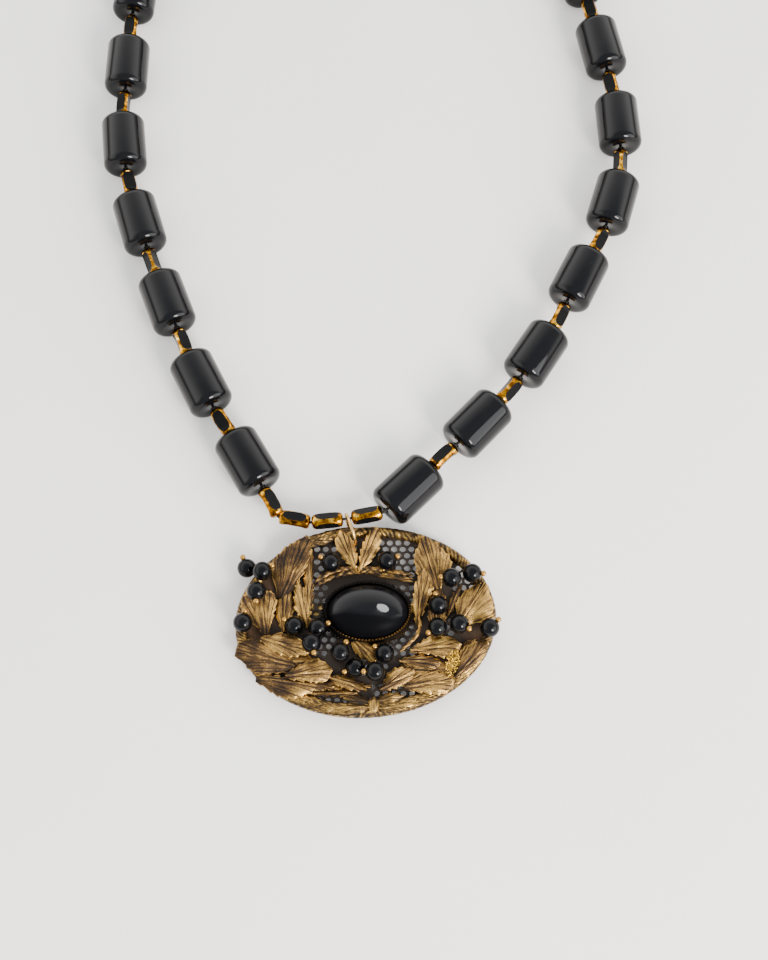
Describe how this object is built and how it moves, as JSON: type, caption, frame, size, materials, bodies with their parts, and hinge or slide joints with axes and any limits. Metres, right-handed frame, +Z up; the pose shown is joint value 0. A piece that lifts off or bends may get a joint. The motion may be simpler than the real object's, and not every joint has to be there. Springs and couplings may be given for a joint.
{
  "type": "brooch necklace",
  "caption": "Black cylinder bead necklace with gilt spacers and a large oval leaf brooch, with berries and a cabochon over a pierced plate, hung on a jump ring.",
  "frame": {"origin": "middle of the necklace's bounding box, on the surface it lies on", "axes": "+X to the wearer's left as it lies, +Y from the brooch to the clasp, +Z up"},
  "size_m": [0.1522, 0.286, 0.012],
  "materials": {
    "black_glass": "polished",
    "gilt_spacers": "polished",
    "pale_gold": "polished",
    "antique_brass": "antiqued"
  },
  "bodies": {
    "root": {"bead_01": "black_glass", "bead_02": "black_glass", "bead_03": "black_glass", "bead_04": "black_glass", "bead_05": "black_glass", "bead_06": "black_glass", "bead_07": "black_glass", "bead_08": "black_glass", "bead_09": "black_glass", "bead_10": "black_glass", "bead_11": "black_glass", "bead_12": "black_glass", "bead_13": "black_glass", "bead_14": "black_glass", "bead_15": "black_glass", "bead_16": "black_glass", "bead_17": "black_glass", "bead_18": "black_glass", "bead_19": "black_glass", "bead_20": "black_glass", "bead_21": "black_glass", "strand": "gilt_spacers", "clasp": "antique_brass", "jump_ring": "pale_gold", "rim": "antique_brass", "back_plate": "antique_brass", "bezel": "antique_brass", "cabochon": "black_glass", "leaf_pair_top": "antique_brass", "leaves_left_upper": "antique_brass", "leaf_fan_left": "antique_brass", "leaves_left_lower": "antique_brass", "leaves_foot_left": "antique_brass", "leaf_centre": "antique_brass", "leaves_right_upper": "antique_brass", "leaf_fan_right": "antique_brass", "leaves_right_lower": "antique_brass", "twig_arch": "antique_brass", "berry_01": "black_glass", "berry_02": "black_glass", "berry_03": "black_glass", "berry_04": "black_glass", "berry_05": "black_glass", "berry_06": "black_glass", "berry_07": "black_glass", "berry_08": "black_glass", "berry_09": "black_glass", "berry_10": "black_glass", "berry_11": "black_glass", "berry_12": "black_glass", "berry_13": "black_glass", "berry_14": "black_glass", "berry_15": "black_glass", "berry_16": "black_glass", "berry_17": "black_glass", "berry_18": "black_glass", "berry_19": "black_glass", "brooch_pin": "antique_brass"}
  },
  "joints": []
}
